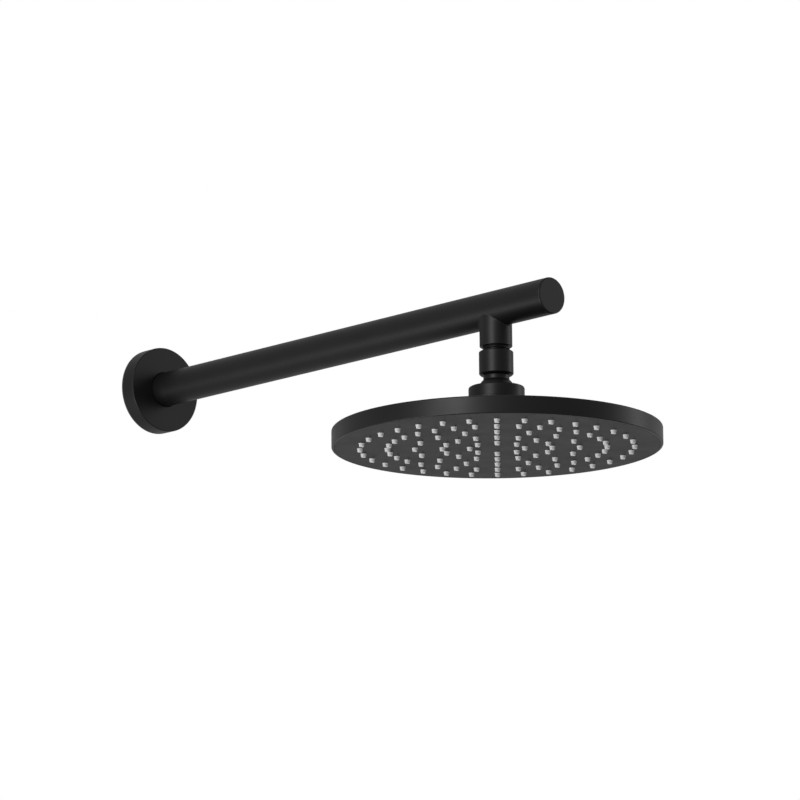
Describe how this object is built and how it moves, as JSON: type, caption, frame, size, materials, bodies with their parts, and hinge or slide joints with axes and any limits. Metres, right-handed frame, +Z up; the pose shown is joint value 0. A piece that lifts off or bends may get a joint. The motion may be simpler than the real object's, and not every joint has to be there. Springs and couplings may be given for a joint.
{
  "type": "wall-mounted rain shower head and arm",
  "caption": "Straight tubular wall arm with a round sliding flange, carrying a large flat round rain shower head on a ball joint under its tip.",
  "frame": {"origin": "centre of the wall plate's back face, on the arm's axis and in the plane of the wall", "axes": "+Y points into the wall, the arm runs along -Y, +Z is up, the spray leaves along -Z"},
  "size_m": [0.25, 0.541, 0.1444],
  "materials": {
    "black_metal": "matt black powder coat over brass",
    "black_shell": "satin black moulding",
    "black_face": "finely textured matt black moulding",
    "grey_silicone": "soft matt silicone",
    "brass": "turned, bare",
    "seal_rubber": "matt",
    "stainless": "bright",
    "seat_plastic": "smooth acetal",
    "chamber_plastic": "plain dark grey moulding"
  },
  "bodies": {
    "arm": {"wall_plate": "brass", "inlet_nipple": "brass", "plate_o_rings": "seal_rubber", "set_screws": "stainless", "arm_tube": "black_metal", "end_cap": "black_metal", "branch_outlet": "black_metal", "ball_stem": "black_metal", "filter_screen": "stainless", "inlet_washer": "seal_rubber", "flow_regulator": "seat_plastic"},
    "grip_ring": {"flange_grip_ring": "seal_rubber"},
    "flange": {"wall_flange": "black_metal", "flange_gasket": "seal_rubber"},
    "seat": {"seat_ring": "seat_plastic"},
    "seal": {"ball_seal": "seal_rubber"},
    "head": {"retaining_collar": "black_metal", "head_cover": "black_shell", "water_chamber": "chamber_plastic", "case_screws": "stainless", "nozzle_mat": "grey_silicone", "face_plate": "black_face"}
  },
  "joints": [
    {"name": "flange_slide", "type": "slide", "parent": "arm", "child": "grip_ring", "axis": [0, -1, 0], "range_m": [0, 0.36]},
    {"name": "flange_turn", "type": "hinge", "parent": "grip_ring", "child": "flange", "pos_m": [0, -0.0118, 0], "axis": [0, 1, 0], "continuous": true},
    {"name": "head_tilt_side", "type": "hinge", "parent": "arm", "child": "seat", "pos_m": [0, -0.4, -0.0664], "axis": [0, 1, 0], "range_deg": [-10, 10]},
    {"name": "head_tilt_fore", "type": "hinge", "parent": "seat", "child": "seal", "pos_m": [0, -0.4, -0.0664], "axis": [1, 0, 0], "range_deg": [-10, 10]},
    {"name": "head_spin", "type": "hinge", "parent": "seal", "child": "head", "pos_m": [0, -0.4, -0.0664], "axis": [0, 0, 1], "continuous": true}
  ]
}
